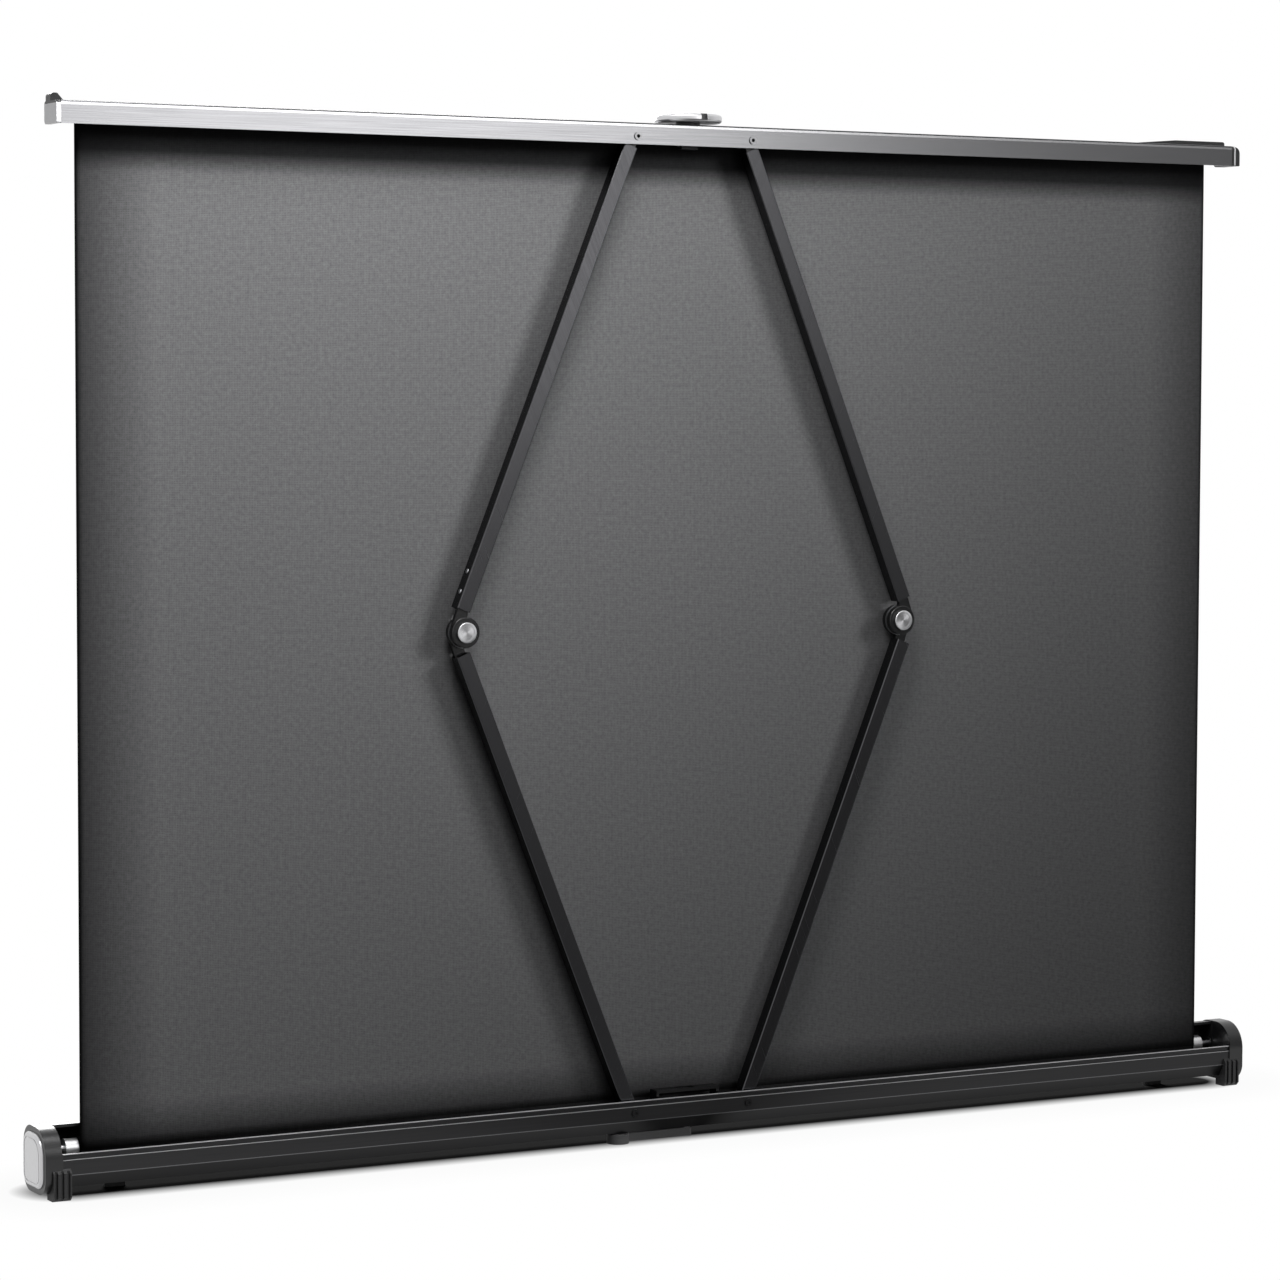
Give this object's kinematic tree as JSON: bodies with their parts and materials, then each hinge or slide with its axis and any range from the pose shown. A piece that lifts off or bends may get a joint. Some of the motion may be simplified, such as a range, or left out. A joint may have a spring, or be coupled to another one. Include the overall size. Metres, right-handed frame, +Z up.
{
  "type": "portable projection screen",
  "caption": "Tabletop pull-up projection screen: a sheet rises from a roller in a low base, held up by a folding diamond of arms under a top rail.",
  "frame": {"origin": "on the floor under the middle of the base", "axes": "+X along the base, +Y towards the projection side, +Z up"},
  "size_m": [0.918, 0.0506, 0.6825],
  "materials": {
    "black_extrusion": "satin",
    "rail_extrusion": "brushed",
    "black_plastic": "matte",
    "silver_plastic": "gloss",
    "bright_metal": "turned",
    "black_casting": "satin",
    "black_screws": "black oxide",
    "steel": "zinc plated",
    "roller_aluminium": "drawn",
    "screen_cloth": "matte coated",
    "rubber": "matte"
  },
  "bodies": {
    "base": {"base_channel": "black_extrusion", "end_cap_left": "black_plastic", "end_cap_right": "black_plastic", "cap_inlay_left": "silver_plastic", "cap_inlay_right": "silver_plastic", "cap_screws": "steel", "roller_bush_left": "black_plastic", "roller_bush_right": "black_plastic", "rear_foot_left": "rubber", "rear_foot_right": "rubber", "front_pad_left": "rubber", "front_pad_right": "rubber", "stay_rivet": "steel", "stay_washer": "steel", "spring_rod": "steel", "torsion_spring": "steel", "screen_sheet": "screen_cloth", "base_pivot_screw_left": "black_screws", "base_pivot_screw_right": "black_screws", "base_pivot_nuts": "black_screws", "lock_catch": "black_extrusion", "catch_screws": "steel"},
    "roller": {"roller_tube": "roller_aluminium", "sheet_wraps": "screen_cloth", "idle_plug": "steel", "drive_plug": "black_plastic", "spring_anchor": "black_plastic"},
    "lower_left": {"lower_arm_left": "black_extrusion", "lower_lug_left": "black_casting", "lower_knuckle_left": "black_casting", "elbow_pin_left": "steel", "elbow_cap_left": "bright_metal", "elbow_clip_left": "black_casting", "elbow_washer_left": "bright_metal"},
    "upper_left": {"upper_arm_left": "black_extrusion", "upper_lug_left": "black_casting", "upper_knuckle_left": "black_casting"},
    "lower_right": {"lower_arm_right": "black_extrusion", "lower_lug_right": "black_casting", "lower_knuckle_right": "black_casting", "elbow_pin_right": "steel", "elbow_cap_right": "bright_metal", "elbow_clip_right": "black_casting", "elbow_washer_right": "bright_metal"},
    "upper_right": {"upper_arm_right": "black_extrusion", "upper_lug_right": "black_casting", "upper_knuckle_right": "black_casting"},
    "rail": {"rail_channel": "rail_extrusion", "rail_cap_left": "black_plastic", "rail_cap_right": "black_plastic", "clamp_bar": "steel", "rail_pivot_screw_left": "black_screws", "rail_pivot_screw_right": "black_screws", "rail_pivot_nuts": "black_screws", "knob_collar": "black_plastic"},
    "lock": {"lock_knob": "bright_metal", "knob_grip": "black_plastic", "lock_cam": "steel"},
    "stay": {"swivel_stay": "black_plastic", "stay_pad": "rubber"}
  },
  "joints": [
    {"name": "fold", "type": "hinge", "parent": "base", "child": "lower_left", "pos_m": [-0.0435, 0, 0.021], "axis": [0, -1, 0], "range_deg": [0, 68], "deforming": ["screen_sheet"]},
    {"name": "elbow_left", "type": "hinge", "parent": "lower_left", "child": "upper_left", "pos_m": [-0.16653, 0, 0.34393], "axis": [0, 1, 0], "range_deg": [0, 136]},
    {"name": "rail_level", "type": "hinge", "parent": "upper_left", "child": "rail", "pos_m": [-0.0435, 0, 0.66685], "axis": [0, -1, 0], "range_deg": [0, 68]},
    {"name": "fold_right", "type": "hinge", "parent": "base", "child": "lower_right", "pos_m": [0.0435, 0, 0.021], "axis": [0, 1, 0], "range_deg": [0, 68]},
    {"name": "elbow_right", "type": "hinge", "parent": "lower_right", "child": "upper_right", "pos_m": [0.16653, 0, 0.34393], "axis": [0, -1, 0], "range_deg": [0, 136]},
    {"name": "roller_turn", "type": "hinge", "parent": "base", "child": "roller", "pos_m": [0, 0.006, 0.028], "axis": [1, 0, 0], "range_deg": [0, 4556]},
    {"name": "lock_turn", "type": "hinge", "parent": "rail", "child": "lock", "pos_m": [0, -0.00835, 0.66685], "axis": [0, 0, 1], "range_deg": [0, 90]},
    {"name": "stay_swing", "type": "hinge", "parent": "base", "child": "stay", "pos_m": [0, -0.0085, 0.004], "axis": [0, 0, 1], "range_deg": [0, 90]}
  ],
  "couplings": [
    {"joint": "elbow_left", "follows": "fold", "ratio": 2},
    {"joint": "rail_level", "follows": "fold", "ratio": 1},
    {"joint": "fold_right", "follows": "fold", "ratio": 1},
    {"joint": "elbow_right", "follows": "fold", "ratio": 2},
    {"joint": "roller_turn", "follows": "fold", "ratio": 67}
  ]
}
